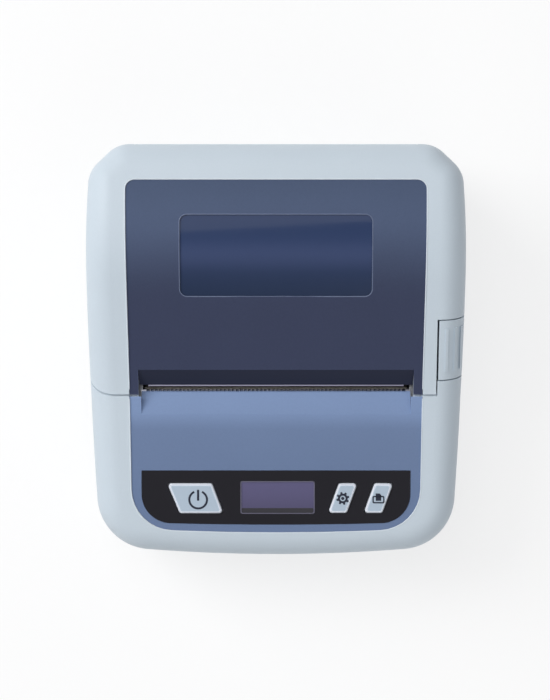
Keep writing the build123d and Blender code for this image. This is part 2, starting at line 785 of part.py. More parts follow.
with BuildPart() as tear_bar:
    plane_block(bar_plane, (-ramp_half, ramp_half), (-0.5, 2.8), (0, 0.5))
    tooth = 1.25
    tooth_count = int(2 * (ramp_half - 1) / tooth)
    with BuildSketch(bar_plane) as teeth:
        for step in range(tooth_count):
            tooth_x = (step - (tooth_count - 1) / 2) * tooth
            with BuildLine():
                Polyline((tooth_x - tooth / 2, 2.7), (tooth_x + tooth / 2, 2.7), (tooth_x, 3.7), close=True)
            make_face()
    extrude(amount=0.5)
tear_bar.part.label = "tear_bar"

motor_radius = motor_z - floor_top - frame_floor - motor_lift
motor_inner = plate_inner - motor_length

with BuildPart() as paper_motor:
    cross_rod(motor_radius, motor_y, motor_z, (-plate_inner, -motor_inner))
    fillet(paper_motor.edges().filter_by(GeomType.CIRCLE), 0.8)
    bore = motor_shaft_radius + running_fit
    cross_rod(bore, motor_y, motor_z, (-plate_inner, -plate_inner + 4), Mode.SUBTRACT)
paper_motor.part.label = "paper_motor"

gear_x = (-gear_outer, -gear_inner)

with BuildPart() as motor_pinion:
    cross_rod(motor_shaft_radius, motor_y, motor_z, (-gear_outer, -plate_inner + 3.5))
    gear(Plane.YZ, motor_teeth, motor_phase, motor_y, motor_z, gear_x, motor_shaft_radius)
motor_pinion.part.label = "motor_pinion"

with BuildPart() as idler_gear:
    gear(Plane.YZ, idler_teeth, idler_phase, idler_y, idler_z, gear_x, idler_pin_radius + running_fit)
idler_gear.part.label = "idler_gear"

with BuildPart() as idler_pin:
    cross_rod(idler_pin_radius, idler_y, idler_z, (-gear_outer - 1, -plate_inner))
    cross_rod(2.4, idler_y, idler_z, (-gear_outer - 1, -gear_outer - 0.2))
    cross_rod(2.4, idler_y, idler_z, (-gear_inner + 0.2, -plate_outer))
idler_pin.part.label = "idler_pin"

# Paper bay and guides

bay_top = bay_z + 4.4
guide_pitch = gear_module * guide_teeth / 2
rack_back = guide_pitch + 3.0
rack_z = (bay_radius + bay_wall + 0.7, bay_radius + bay_wall + 2.7)
arm_y = (guide_pitch + 0.5, rack_back)

with BuildPart() as paper_bucket:
    cross_rod(bay_radius + bay_wall, bay_y, bay_z, (-bay_half_width - bay_wall, bay_half_width + bay_wall))
    for side in (-1, 1):
        end_wall = sorted((side * bay_half_width, side * (bay_half_width + bay_wall)))
        span_block(end_wall, (bay_y - 19, bay_y + 19), (floor_top, bay_z))
    cross_rod(bay_radius, bay_y, bay_z, (-bay_half_width, bay_half_width), Mode.SUBTRACT)
    span_block((-far, far), (-far, far), (bay_top, 2 * case_height), Mode.SUBTRACT)
    for side in (-1, 1):
        slot_x = sorted((side * (paper_width / 2 - guide_travel - 0.6), side * bay_half_width))
        slot_side = sorted((-side * (arm_y[0] - 0.3), -side * (arm_y[1] + 0.3)))
        plane_block(guide_plane, slot_x, slot_side, (bay_radius - 5, bay_radius + 3), Mode.SUBTRACT)
    plane_rod(guide_plane, 1.2, 0, 0, (bay_radius + 0.5, rack_z[1] + 0.4))
    plane_rod(guide_plane, 2.2, 0, 0, (bay_radius + 0.5, rack_z[0] - 0.1))
paper_bucket.part.label = "paper_bucket"

with BuildPart() as guide_pinion:
    gear(guide_plane, guide_teeth, pi / 2, 0, 0, rack_z, 1.2 + running_fit)
guide_pinion.part.label = "guide_pinion"

rack_pitch = pi * gear_module
guides = []
for label, side in (("guide_left", -1), ("guide_right", 1)):
    with BuildPart() as guide:
        plate_x = sorted((side * (paper_width / 2 + 0.2), side * (paper_width / 2 + 0.2 + guide_thickness)))
        cross_rod(bay_radius - 0.6, bay_y, bay_z, plate_x)
        cross_rod(7, bay_y, bay_z, plate_x, Mode.SUBTRACT)
        span_block((-far, far), (-far, far), (bay_z + 8, 2 * case_height), Mode.SUBTRACT)
        across = sorted((-side * arm_y[0], -side * arm_y[1]))
        plane_block(guide_plane, plate_x, across, (bay_radius - 4, rack_z[1]))
        rack_x = sorted((side * (paper_width / 2 + 0.2), -side * 7))
        rack_body = sorted((-side * (guide_pitch + 0.9 * gear_module), -side * rack_back))
        plane_block(guide_plane, rack_x, rack_body, rack_z)
        with BuildSketch(guide_plane.offset(rack_z[0])) as rack_teeth:
            for step in range(-6, 3):
                middle = -side * (step + 0.5) * rack_pitch
                tip = rack_pitch / 4 - backlash / 2 - 0.6 * gear_module * tan(pressure_angle)
                root = rack_pitch / 4 - backlash / 2 + 0.9 * gear_module * tan(pressure_angle)
                tip_y = -side * (guide_pitch - 0.6 * gear_module)
                root_y = -side * (guide_pitch + 0.9 * gear_module + 0.05)
                top_flank = [(middle - tip, tip_y), (middle + tip, tip_y)]
                low_flank = [(middle + root, root_y), (middle - root, root_y)]
                with BuildLine():
                    Polyline(*top_flank, *low_flank, close=True)
                make_face()
        extrude(amount=rack_z[1] - rack_z[0])
    guide.part.label = label
    guides.append(guide)

with BuildPart() as paper_sensor:
    span_block((-4, 4), (platen_y + 3.6, platen_y + 6.6), (floor_top + frame_floor, bay_z + 2))
    span_block((-2.5, 2.5), (platen_y + 3.2, platen_y + 3.6), (bay_z - 2, bay_z + 1))
paper_sensor.part.label = "paper_sensor"

# Cover

cheek_width = 2.6
cheek_inner = hinge_half_width + piece_gap
barrel_half = hinge_half_width - lug_width - 0.3

with BuildPart() as barrel:
    add(case_outer)
    with BuildSketch(Plane.YZ.offset(-barrel_half)):
        with Locations((hinge_y, hinge_height)):
            Circle(barrel_radius)
    extrude(amount=2 * barrel_half, mode=Mode.INTERSECT)

with BuildPart() as fitting_blanks:
    for side in (-1, 1):
        cheek = sorted((side * cheek_inner, side * (cheek_inner + cheek_width)))
        span_block(cheek, (hinge_y - 4, hinge_y + 3.4), (hinge_height - 4, case_height))
    notch_wall = (latch_inner_x - 2.2, latch_inner_x - 0.6)
    plane_block(latch_plane, notch_wall, (-latch_half_length - 3, latch_half_length + 2), (-12, 4))
    end_wall = (latch_half_length + piece_gap, latch_half_length + 2)
    plane_block(latch_plane, (latch_inner_x - 2.2, half_width), end_wall, (-12, 4))

with BuildPart() as cover_fittings:
    add(case_inner)
    add(fitting_blanks.part, mode=Mode.INTERSECT)

with BuildPart() as cover_pocket:
    upright(opening_plan(0, slot_y, far))
    add(case_panel_floor, mode=Mode.SUBTRACT)

with BuildPart() as window_pocket:
    upright(window_plan(-0.1))
    add(window_floor, mode=Mode.SUBTRACT)

roof_screws = [(side * (recess_half - 10.2), y) for side in (-1, 1) for y in (-3.5, 5.5)]

with BuildPart() as cover_shell:
    add(case_outer)
    add(case_inner, mode=Mode.SUBTRACT)
    add(cover_zone(0), mode=Mode.INTERSECT)
    span_block((-cheek_inner, cheek_inner), (hinge_y - 4, far), (0, hinge_height), Mode.SUBTRACT)
    add(barrel.part)
    add(cover_fittings.part)
    for side in (-1, 1):
        span = sorted((side * barrel_half, side * cheek_inner))
        cross_rod(lug_radius + piece_gap, hinge_y, hinge_height, span, Mode.SUBTRACT)
    pin_bore = hinge_pin_radius + running_fit
    for side in (-1, 1):
        span = sorted((side * (cheek_inner - 1), side * (cheek_inner + cheek_width + 0.2)))
        cross_rod(pin_bore, hinge_y, hinge_height, span, Mode.SUBTRACT)
    notch_end = (-far, latch_half_length + piece_gap)
    plane_block(latch_plane, (latch_inner_x - 0.6, far), notch_end, (-far, far), Mode.SUBTRACT)
    add(cover_pocket.part, mode=Mode.SUBTRACT)
    add(window_pocket.part, mode=Mode.SUBTRACT)
    upright(window_plan(window_ledge), Mode.SUBTRACT)
    span_block((-recess_half, recess_half), (-far, lip_rear_y), (0, 2 * case_height), Mode.SUBTRACT)
    for x, y in roof_screws:
        plane_rod(latch_plane, 0.9, x, y, (-far, -1.5), Mode.SUBTRACT)
cover_shell.part.label = "cover_shell"

with BuildPart() as cover_panel:
    upright(opening_plan(0.12, slot_y + 0.35, far))
    add(case_panel_top, mode=Mode.INTERSECT)
    add(case_panel_floor, mode=Mode.SUBTRACT)
    upright(window_plan(-0.1), Mode.SUBTRACT)
    span_block((-recess_half, recess_half), (-far, lip_rear_y), (0, 2 * case_height), Mode.SUBTRACT)
cover_panel.part.label = "cover_panel"

with BuildPart() as cover_window:
    upright(window_plan(0))
    add(window_top, mode=Mode.INTERSECT)
    add(window_floor, mode=Mode.SUBTRACT)
cover_window.part.label = "cover_window"

lip_z = platen_height + 4.5
lip_half = recess_half - 0.1

with BuildPart() as cover_lip:
    lip = [
        (lip_rear_y, roof_z(lip_rear_y) - panel_recess),
        (lip_front_y + 0.4, lip_z + 1.2),
        (lip_front_y + 0.4, lip_z),
        (platen_y - 3.9, lip_z),
        (lip_rear_y, lip_z + 2.1),
    ]
    side_profile(lip, (-lip_half, lip_half))
cover_lip.part.label = "cover_lip"

with BuildPart() as cover_edge_strip:
    strip_half = lip_half - 2.8
    span_block((-strip_half, strip_half), (lip_front_y, lip_front_y + 0.4), (lip_z - 0.1, lip_z + 1.1))
cover_edge_strip.part.label = "cover_edge_strip"

arm_radius = 4.4
bush_radius = 3.2

with BuildPart() as arm_blanks:
    for side in (-1, 1):
        span = sorted((side * arm_inner, side * arm_outer))
        cross_rod(arm_radius, platen_y, platen_height, span)
        span_block(span, (platen_y - arm_radius, platen_y + arm_radius), (platen_height, case_height))

with BuildPart() as arms:
    add(case_inner)
    add(arm_blanks.part, mode=Mode.INTERSECT)

with BuildPart() as cover_liner:
    add(case_inner)
    add(liner_floor, mode=Mode.SUBTRACT)
    liner_y = (lip_rear_y + 0.2, lip_rear_y + 14)
    span_block((-arm_outer, arm_outer), liner_y, (parting_z, case_height), Mode.INTERSECT)
    add(arms.part)
    cross_rod(bush_radius, platen_y, platen_height, (-far, far), Mode.SUBTRACT)
    for x, y in roof_screws:
        plane_rod(latch_plane, 0.9, x, y, (-far, 0), Mode.SUBTRACT)
cover_liner.part.label = "cover_liner"

with BuildPart() as cover_screws:
    for x, y in roof_screws:
        plane_rod(latch_plane, 0.9, x, y, (-wall - 1.3, -1.5))
        plane_rod(latch_plane, 1.7, x, y, (-wall - 2.3, -wall - 1.3))
cover_screws.part.label = "cover_screws"

with BuildPart() as platen_bushes:
    for side in (-1, 1):
        span = sorted((side * arm_inner, side * arm_outer))
        cross_rod(bush_radius, platen_y, platen_height, span)
    cross_rod(shaft_radius + running_fit, platen_y, platen_height, (-far, far), Mode.SUBTRACT)
platen_bushes.part.label = "platen_bushes"

with BuildPart() as platen_shaft:
    cross_rod(shaft_radius, platen_y, platen_height, (-gear_outer - 0.3, arm_outer + 0.5))
platen_shaft.part.label = "platen_shaft"

roller_half = paper_width / 2 + 0.5

with BuildPart() as platen_roller:
    cross_rod(platen_radius, platen_y, platen_height, (-roller_half, roller_half))
    cross_rod(shaft_radius, platen_y, platen_height, (-roller_half, roller_half), Mode.SUBTRACT)
platen_roller.part.label = "platen_roller"

with BuildPart() as platen_gear:
    gear(Plane.YZ, platen_teeth, idler_way, platen_y, platen_height, gear_x, shaft_radius)
platen_gear.part.label = "platen_gear"

with BuildPart() as hinge_pins:
    for side in (-1, 1):
        span = sorted((side * (hinge_half_width - lug_width + 0.2), side * (cheek_inner + cheek_width)))
        cross_rod(hinge_pin_radius, hinge_y, hinge_height, span)
hinge_pins.part.label = "hinge_pins"

# Release lever

rib_form = Pos(0.3, 0, 0.3) * case_outer
lever_low_z = parting_z + 0.9
rib_spots = [half_width - inset for inset in (5.9, 3.1, 1.1)]

with BuildPart() as rib_blanks:
    for spot in rib_spots:
        plane_block(latch_plane, (spot - 0.45, spot + 0.45), (-6.6, 6.8), (-7, 3))

with BuildPart() as lever_ribs:
    add(rib_form)
    add(case_inner, mode=Mode.SUBTRACT)
    add(rib_blanks.part, mode=Mode.INTERSECT)

with BuildPart() as end_blanks:
    for side in (-1, 1):
        span = sorted((side * (latch_half_length - 1.4), side * latch_half_length))
        plane_block(latch_plane, (latch_inner_x, half_width), span, (-12, 4))
    plane_block(latch_plane, (latch_inner_x, latch_inner_x + 1.8), (-2.6, 5.8), (-latch_pivot_depth, 4))

with BuildPart() as lever_ends:
    add(case_inner)
    add(end_blanks.part, mode=Mode.INTERSECT)

with BuildPart() as latch_lever:
    add(case_outer)
    add(case_inner, mode=Mode.SUBTRACT)
    lever_span = (-latch_half_length, latch_half_length)
    plane_block(latch_plane, (latch_inner_x, far), lever_span, (-far, far), Mode.INTERSECT)
    add(lever_ribs.part)
    add(lever_ends.part)
    span_block((-far, far), (-far, far), (0, split_z + 4), Mode.SUBTRACT)
    span_block((latch_inner_x + 1.8, far), (-far, far), (0, lever_low_z), Mode.SUBTRACT)
    plane_rod(latch_pin_plane, 2.3, 0, 0, (8.3 - 2.6, 8.3 + 5.8))
    plane_rod(latch_pin_plane, latch_pin_radius + running_fit, 0, 0, (-1, 18), Mode.SUBTRACT)
latch_lever.part.label = "latch_lever"

with BuildPart() as latch_pin:
    plane_rod(latch_pin_plane, latch_pin_radius, 0, 0, (0, 16.6))
latch_pin.part.label = "latch_pin"

with BuildPart() as latch_spring:
    add(coil(latch_pin_plane.offset(2.3), 1.75, 2.8, 4, 0.25))
latch_spring.part.label = "latch_spring"

parts = [bottom_case, rubber_feet, case_screws, battery_door, battery_pack, battery_contacts, middle_case]
parts += [port_flap, flap_pin, usb_port, front_deck, control_fascia, display_lens, display_module, *buttons]
parts += [button_board, button_switches, main_board, board_parts, mechanism_frame, print_head]
parts += [head_heat_sink, head_pin, head_springs, tear_bar, paper_motor, motor_pinion, idler_gear, idler_pin]
parts += [paper_bucket, guide_pinion, *guides, paper_sensor, cover_shell, cover_panel, cover_window]
parts += [cover_lip, cover_edge_strip, cover_liner, cover_screws, platen_bushes, platen_shaft, platen_roller]
parts += [platen_gear, hinge_pins, latch_lever, latch_pin, latch_spring]
for piece in parts:
    export_step(piece.part, "parts/" + piece.part.label + ".step")
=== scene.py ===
import math

import bmesh
import bpy
from mathutils import Matrix, Vector
from mathutils.bvhtree import BVHTree


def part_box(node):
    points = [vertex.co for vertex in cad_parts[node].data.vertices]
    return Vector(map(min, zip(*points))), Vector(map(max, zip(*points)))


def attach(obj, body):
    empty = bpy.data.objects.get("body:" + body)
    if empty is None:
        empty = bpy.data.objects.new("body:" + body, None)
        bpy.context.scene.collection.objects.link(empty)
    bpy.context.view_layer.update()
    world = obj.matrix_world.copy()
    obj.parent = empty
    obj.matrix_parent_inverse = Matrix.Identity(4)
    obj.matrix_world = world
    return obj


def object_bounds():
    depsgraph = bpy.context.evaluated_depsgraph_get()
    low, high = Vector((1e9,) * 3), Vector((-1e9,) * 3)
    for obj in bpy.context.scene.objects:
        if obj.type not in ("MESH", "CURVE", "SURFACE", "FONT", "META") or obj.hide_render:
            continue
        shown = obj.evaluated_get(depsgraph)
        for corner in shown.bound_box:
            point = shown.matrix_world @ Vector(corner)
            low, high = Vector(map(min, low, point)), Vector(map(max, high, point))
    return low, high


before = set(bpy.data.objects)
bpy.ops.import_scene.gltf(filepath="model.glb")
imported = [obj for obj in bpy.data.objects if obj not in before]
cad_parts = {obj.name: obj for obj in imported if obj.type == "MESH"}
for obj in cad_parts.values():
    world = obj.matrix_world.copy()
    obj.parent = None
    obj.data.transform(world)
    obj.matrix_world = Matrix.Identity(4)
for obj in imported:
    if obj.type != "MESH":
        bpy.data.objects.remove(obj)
cad_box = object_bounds()

# Case shells, battery door and release lever. They are injection moulded in one pale grey-blue plastic, with
# a fine texture from the tool; the skin paints their edges a little lighter, a painted highlight.


def screen(red, green, blue):
    """The linear colour for one read as 0 to 255 on a screen."""
    parts = [value / 255 for value in (red, green, blue)]
    linear = [((part + 0.055) / 1.055) ** 2.4 if part > 0.04045 else part / 12.92 for part in parts]
    return (*linear, 1.0)


def shader_group(name, inputs, outputs):
    """A shader node group with its sockets, and the sockets to link inside it."""
    tree = bpy.data.node_groups.new(name, "ShaderNodeTree")
    for label, kind, value in inputs:
        tree.interface.new_socket(name=label, in_out="INPUT", socket_type=kind).default_value = value
    for label, kind in outputs:
        tree.interface.new_socket(name=label, in_out="OUTPUT", socket_type=kind)
    return tree, tree.nodes.new("NodeGroupInput").outputs, tree.nodes.new("NodeGroupOutput").inputs


def calc(tree, operation, *values, clamp=False):
    """The result of a Math node, whose values are numbers or sockets."""
    node = tree.nodes.new("ShaderNodeMath")
    node.operation = operation
    node.use_clamp = clamp
    for socket, value in zip(node.inputs, values):
        if isinstance(value, (int, float)):
            socket.default_value = value
        else:
            tree.links.new(value, socket)
    return node.outputs[0]


def noise(tree, scale, detail, stretch=None):
    """The value of a noise on Object coordinates, stretched along an axis if asked."""
    place = tree.nodes.new("ShaderNodeTexCoord").outputs["Object"]
    if stretch:
        mapping = tree.nodes.new("ShaderNodeMapping")
        mapping.inputs["Scale"].default_value = stretch
        tree.links.new(place, mapping.inputs["Vector"])
        place = mapping.outputs["Vector"]
    node = tree.nodes.new("ShaderNodeTexNoise")
    node.inputs["Detail"].default_value = detail
    tree.links.new(place, node.inputs["Vector"])
    if isinstance(scale, (int, float)):
        node.inputs["Scale"].default_value = scale
    else:
        tree.links.new(scale, node.inputs["Scale"])
    return node.outputs[0]


edge_gain = 5.0
gloss_swing = 0.18
moulded_skin, given, result = shader_group(
    "Moulded skin",
    [
        ("Tone", "NodeSocketColor", (0.5, 0.5, 0.5, 1.0)),
        ("Gloss Loss", "NodeSocketFloat", 0.5),
        ("Cloud", "NodeSocketFloat", 0.05),
        ("Grain Scale", "NodeSocketFloat", 2200.0),
        ("Edge Width", "NodeSocketFloat", 0.0005),
        ("Painted Edge Highlight", "NodeSocketFloat", 0.12),
    ],
    [("Color", "NodeSocketColor"), ("Roughness", "NodeSocketFloat"), ("Height", "NodeSocketFloat")],
)
skin_grain = noise(moulded_skin, given["Grain Scale"], 2)
skin_cloud = noise(moulded_skin, 45, 3)
bevel = moulded_skin.nodes.new("ShaderNodeBevel")
bevel.samples = 4
moulded_skin.links.new(given["Edge Width"], bevel.inputs["Radius"])
facing = moulded_skin.nodes.new("ShaderNodeVectorMath")
facing.operation = "DOT_PRODUCT"
moulded_skin.links.new(bevel.outputs[0], facing.inputs[0])
moulded_skin.links.new(moulded_skin.nodes.new("ShaderNodeNewGeometry").outputs["Normal"], facing.inputs[1])
# The lighter tone along edges is a painted highlight, set by how far the bevel normal turns from the face
# normal.
edge = calc(moulded_skin, "SUBTRACT", 1.0, facing.outputs["Value"])
edge = calc(moulded_skin, "MULTIPLY", edge, edge_gain, clamp=True)
edge = calc(moulded_skin, "MULTIPLY", edge, given["Painted Edge Highlight"])
cloud = calc(moulded_skin, "MULTIPLY", calc(moulded_skin, "SUBTRACT", skin_cloud, 0.5), given["Cloud"])
speck = calc(moulded_skin, "MULTIPLY", calc(moulded_skin, "SUBTRACT", skin_grain, 0.5), given["Cloud"])
value = calc(moulded_skin, "ADD", calc(moulded_skin, "ADD", cloud, speck), edge)
value = calc(moulded_skin, "ADD", value, 1.0)
tint = moulded_skin.nodes.new("ShaderNodeHueSaturation")
moulded_skin.links.new(value, tint.inputs["Value"])
moulded_skin.links.new(given["Tone"], tint.inputs["Color"])
moulded_skin.links.new(tint.outputs["Color"], result["Color"])
worn = calc(moulded_skin, "MULTIPLY", calc(moulded_skin, "SUBTRACT", skin_cloud, 0.5), gloss_swing)
dulled = calc(moulded_skin, "ADD", given["Gloss Loss"], worn, clamp=True)
moulded_skin.links.new(dulled, result["Roughness"])
moulded_skin.links.new(skin_grain, result["Height"])


def moulded(name, tone, rough, grain=2200.0, depth=0.00002, cloud=0.05, painted_edge_highlight=0.12, coat=0.0, shine=0.4):
    """A material with the moulded skin, of one colour or of (place, colour) stops along Y in metres."""
    material = bpy.data.materials.new(name)
    material.use_nodes = True
    tree = material.node_tree
    shader = tree.nodes["Principled BSDF"]
    skin = tree.nodes.new("ShaderNodeGroup")
    skin.node_tree = moulded_skin
    skin.inputs["Gloss Loss"].default_value = rough
    skin.inputs["Cloud"].default_value = cloud
    skin.inputs["Grain Scale"].default_value = grain
    skin.inputs["Painted Edge Highlight"].default_value = painted_edge_highlight
    if isinstance(tone[0], tuple):
        low, high = tone[0][0], tone[-1][0]
        split = tree.nodes.new("ShaderNodeSeparateXYZ")
        tree.links.new(tree.nodes.new("ShaderNodeTexCoord").outputs["Object"], split.inputs[0])
        span = tree.nodes.new("ShaderNodeMapRange")
        span.inputs["From Min"].default_value = low
        span.inputs["From Max"].default_value = high
        tree.links.new(split.outputs["Y"], span.inputs["Value"])
        ramp = tree.nodes.new("ShaderNodeValToRGB")
        ramp.color_ramp.interpolation = "B_SPLINE"
        stops = ramp.color_ramp.elements
        while len(stops) < len(tone):
            stops.new(0.5)
        for stop, (place, colour) in zip(stops, tone):
            stop.position = (place - low) / (high - low)
            stop.color = colour
        tree.links.new(span.outputs["Result"], ramp.inputs["Fac"])
        tree.links.new(ramp.outputs["Color"], skin.inputs["Tone"])
    else:
        skin.inputs["Tone"].default_value = tone
    bump = tree.nodes.new("ShaderNodeBump")
    bump.inputs["Distance"].default_value = depth
    bump.inputs["Strength"].default_value = 0.6
    tree.links.new(skin.outputs["Color"], shader.inputs["Base Color"])
    tree.links.new(skin.outputs["Roughness"], shader.inputs["Roughness"])
    tree.links.new(skin.outputs["Height"], bump.inputs["Height"])
    tree.links.new(bump.outputs["Normal"], shader.inputs["Normal"])
    shader.inputs["Coat Weight"].default_value = coat
    shader.inputs["Coat Roughness"].default_value = 0.08
    shader.inputs["Specular IOR Level"].default_value = shine
    return material


def dress(material, *nodes):
    """Gives CAD nodes a material."""
    for node in nodes:
        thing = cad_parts[node]
        if not thing.material_slots:
            thing.data.materials.append(material)
        for place in thing.material_slots:
            place.material = material


case_plastic = moulded("Pale case plastic", screen(199, 210, 219), 0.45, painted_edge_highlight=0.08, shine=0.3)
dress(case_plastic, "bottom_case", "middle_case", "cover_shell", "battery_door", "latch_lever")

# Feet and port flap. The feet are black rubber discs stuck in shallow seats, and the flap over
# the charging socket is a softer grey-blue rubber that turns on a steel pin.

foot_rubber = moulded("Black foot rubber", screen(38, 38, 42), 0.75, grain=900.0, cloud=0.2, painted_edge_highlight=0.4)
dress(foot_rubber, "rubber_feet")
flap_rubber = moulded("Grey flap rubber", screen(150, 161, 172), 0.62, grain=1200.0, cloud=0.08)
dress(flap_rubber, "port_flap")

# Steel pieces. Screws, pins and springs are bright wire and bar, the mechanism's frame is a folded
# sheet, and the sheet's rolling marks run along it as fine streaks.

brushed_marks, given, result = shader_group(
    "Rolling marks",
    [
        ("Tone", "NodeSocketColor", (0.6, 0.6, 0.62, 1.0)),
        ("Gloss Loss", "NodeSocketFloat", 0.3),
        ("Depth", "NodeSocketFloat", 0.35),
    ],
    [("Color", "NodeSocketColor"), ("Roughness", "NodeSocketFloat"), ("Height", "NodeSocketFloat")],
)
streaks = noise(brushed_marks, 1.0, 4, stretch=(60.0, 2600.0, 2600.0))
swing = calc(brushed_marks, "MULTIPLY", calc(brushed_marks, "SUBTRACT", streaks, 0.5), given["Depth"])
tint = brushed_marks.nodes.new("ShaderNodeHueSaturation")
brushed_marks.links.new(calc(brushed_marks, "ADD", swing, 1.0), tint.inputs["Value"])
brushed_marks.links.new(given["Tone"], tint.inputs["Color"])
brushed_marks.links.new(tint.outputs["Color"], result["Color"])
scratched = calc(brushed_marks, "ADD", swing, given["Gloss Loss"], clamp=True)
brushed_marks.links.new(scratched, result["Roughness"])
brushed_marks.links.new(streaks, result["Height"])


def metal(name, tone, rough, streak=0.35):
    """A metal with rolling marks along X."""
    material = bpy.data.materials.new(name)
    material.use_nodes = True
    tree = material.node_tree
    shader = tree.nodes["Principled BSDF"]
    marks = tree.nodes.new("ShaderNodeGroup")
    marks.node_tree = brushed_marks
    marks.inputs["Tone"].default_value = tone
    marks.inputs["Gloss Loss"].default_value = rough
    marks.inputs["Depth"].default_value = streak
    bump = tree.nodes.new("ShaderNodeBump")
    bump.inputs["Distance"].default_value = 0.00001
    bump.inputs["Strength"].default_value = 0.4
    shader.inputs["Metallic"].default_value = 1.0
    tree.links.new(marks.outputs["Color"], shader.inputs["Base Color"])
    tree.links.new(marks.outputs["Roughness"], shader.inputs["Roughness"])
    tree.links.new(marks.outputs["Height"], bump.inputs["Height"])
    tree.links.new(bump.outputs["Normal"], shader.inputs["Normal"])
    return material


sheet_steel = metal("Zinc plated sheet", screen(176, 178, 182), 0.34)
dress(sheet_steel, "mechanism_frame", "paper_motor", "usb_port", "battery_contacts")
bright_steel = metal("Bright steel bar", screen(196, 198, 202), 0.2, streak=0.15)
dress(bright_steel, "case_screws", "cover_screws", "flap_pin", "head_pin", "idler_pin", "hinge_pins")
dress(bright_steel, "latch_pin", "latch_spring", "head_springs", "platen_shaft")
blade_steel = metal("Tear bar steel", screen(120, 122, 132), 0.28, streak=0.5)
dress(blade_steel, "tear_bar")
sink_aluminium = metal("Heat sink aluminium", screen(186, 188, 192), 0.4, streak=0.25)
dress(sink_aluminium, "head_heat_sink")

# Battery pack. It is one flat cell pack in a dark satin sleeve, and slides in behind the door.

cell_wrap = moulded("Dark battery sleeve", screen(46, 48, 56), 0.35, grain=700.0, cloud=0.12, painted_edge_highlight=0.5)
dress(cell_wrap, "battery_pack")

# Boards and what is soldered to them. The boards are green laminate with fine copper tracks under
# the lacquer, and the chips, cans and switches are black moulded bodies with tinned legs.

track_pattern, given, result = shader_group(
    "Copper tracks",
    [
        ("Board", "NodeSocketColor", (0.02, 0.15, 0.06, 1.0)),
        ("Track", "NodeSocketColor", (0.05, 0.3, 0.12, 1.0)),
    ],
    [("Color", "NodeSocketColor"), ("Height", "NodeSocketFloat")],
)
tracks = track_pattern.nodes.new("ShaderNodeTexBrick")
tracks.inputs["Scale"].default_value = 260.0
tracks.inputs["Mortar Size"].default_value = 0.012
tracks.inputs["Color1"].default_value = (0.0, 0.0, 0.0, 1.0)
tracks.inputs["Color2"].default_value = (0.08, 0.08, 0.08, 1.0)
tracks.inputs["Mortar"].default_value = (1.0, 1.0, 1.0, 1.0)
track_place = track_pattern.nodes.new("ShaderNodeTexCoord").outputs["Object"]
track_pattern.links.new(track_place, tracks.inputs["Vector"])
track_mix = track_pattern.nodes.new("ShaderNodeMix")
track_mix.data_type = "RGBA"
track_pattern.links.new(tracks.outputs["Color"], track_mix.inputs["Factor"])
track_pattern.links.new(given["Board"], track_mix.inputs["A"])
track_pattern.links.new(given["Track"], track_mix.inputs["B"])
track_pattern.links.new(track_mix.outputs["Result"], result["Color"])
track_pattern.links.new(tracks.outputs["Color"], result["Height"])

laminate = bpy.data.materials.new("Green board laminate")
laminate.use_nodes = True
laminate_tree = laminate.node_tree
laminate_shader = laminate_tree.nodes["Principled BSDF"]
laminate_tracks = laminate_tree.nodes.new("ShaderNodeGroup")
laminate_tracks.node_tree = track_pattern
laminate_tracks.inputs["Board"].default_value = screen(24, 84, 52)
laminate_tracks.inputs["Track"].default_value = screen(52, 128, 80)
laminate_bump = laminate_tree.nodes.new("ShaderNodeBump")
laminate_bump.inputs["Distance"].default_value = 0.00003
laminate_tree.links.new(laminate_tracks.outputs["Color"], laminate_shader.inputs["Base Color"])
laminate_tree.links.new(laminate_tracks.outputs["Height"], laminate_bump.inputs["Height"])
laminate_tree.links.new(laminate_bump.outputs["Normal"], laminate_shader.inputs["Normal"])
laminate_shader.inputs["Roughness"].default_value = 0.3
dress(laminate, "main_board", "button_board")
chip_black = moulded("Black chip bodies", screen(34, 35, 38), 0.5, grain=1500.0, cloud=0.1, painted_edge_highlight=0.5)
dress(chip_black, "board_parts", "button_switches", "display_module")


def tree_sockets(name, inputs):
    """A Geometry Nodes tree with named inputs, and the sockets to link inside it."""
    tree = bpy.data.node_groups.new(name, "GeometryNodeTree")
    for label, kind in inputs:
        tree.interface.new_socket(name=label, in_out="INPUT", socket_type=kind)
    tree.interface.new_socket(name="Geometry", in_out="OUTPUT", socket_type="NodeSocketGeometry")
    return tree, tree.nodes.new("NodeGroupInput").outputs, tree.nodes.new("NodeGroupOutput").inputs


def close_tree(tree, geometry, material, result):
    """Ends a tree in Realize Instances and Set Material."""
    real = tree.nodes.new("GeometryNodeRealizeInstances")
    paint = tree.nodes.new("GeometryNodeSetMaterial")
    tree.links.new(geometry, real.inputs["Geometry"])
    tree.links.new(real.outputs["Geometry"], paint.inputs["Geometry"])
    tree.links.new(material, paint.inputs["Material"])
    tree.links.new(paint.outputs["Geometry"], result["Geometry"])


def grown(tree, values):
    """The plain mesh that a Geometry Nodes tree makes from these input values."""
    host = bpy.data.objects.new("host", bpy.data.meshes.new("host"))
    bpy.context.scene.collection.objects.link(host)
    modifier = host.modifiers.new("grow", "NODES")
    modifier.node_group = tree
    for item in tree.interface.items_tree:
        if item.in_out == "INPUT":
            modifier[item.identifier] = values[item.name]
    mesh = bpy.data.meshes.new_from_object(host.evaluated_get(bpy.context.evaluated_depsgraph_get()))
    bpy.data.objects.remove(host)
    return mesh


def piece(name, mesh, material, body, rounding=0.0):
    """A new piece that rides on a body, with an optional rounded edge."""
    thing = bpy.data.objects.new(name, mesh)
    bpy.context.scene.collection.objects.link(thing)
    if not mesh.materials:
        mesh.materials.append(material)
    if rounding:
        modifier = thing.modifiers.new("rounded", "BEVEL")
        modifier.width = rounding
        modifier.segments = 2
        modifier.limit_method = "ANGLE"
    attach(thing, body)
    return thing


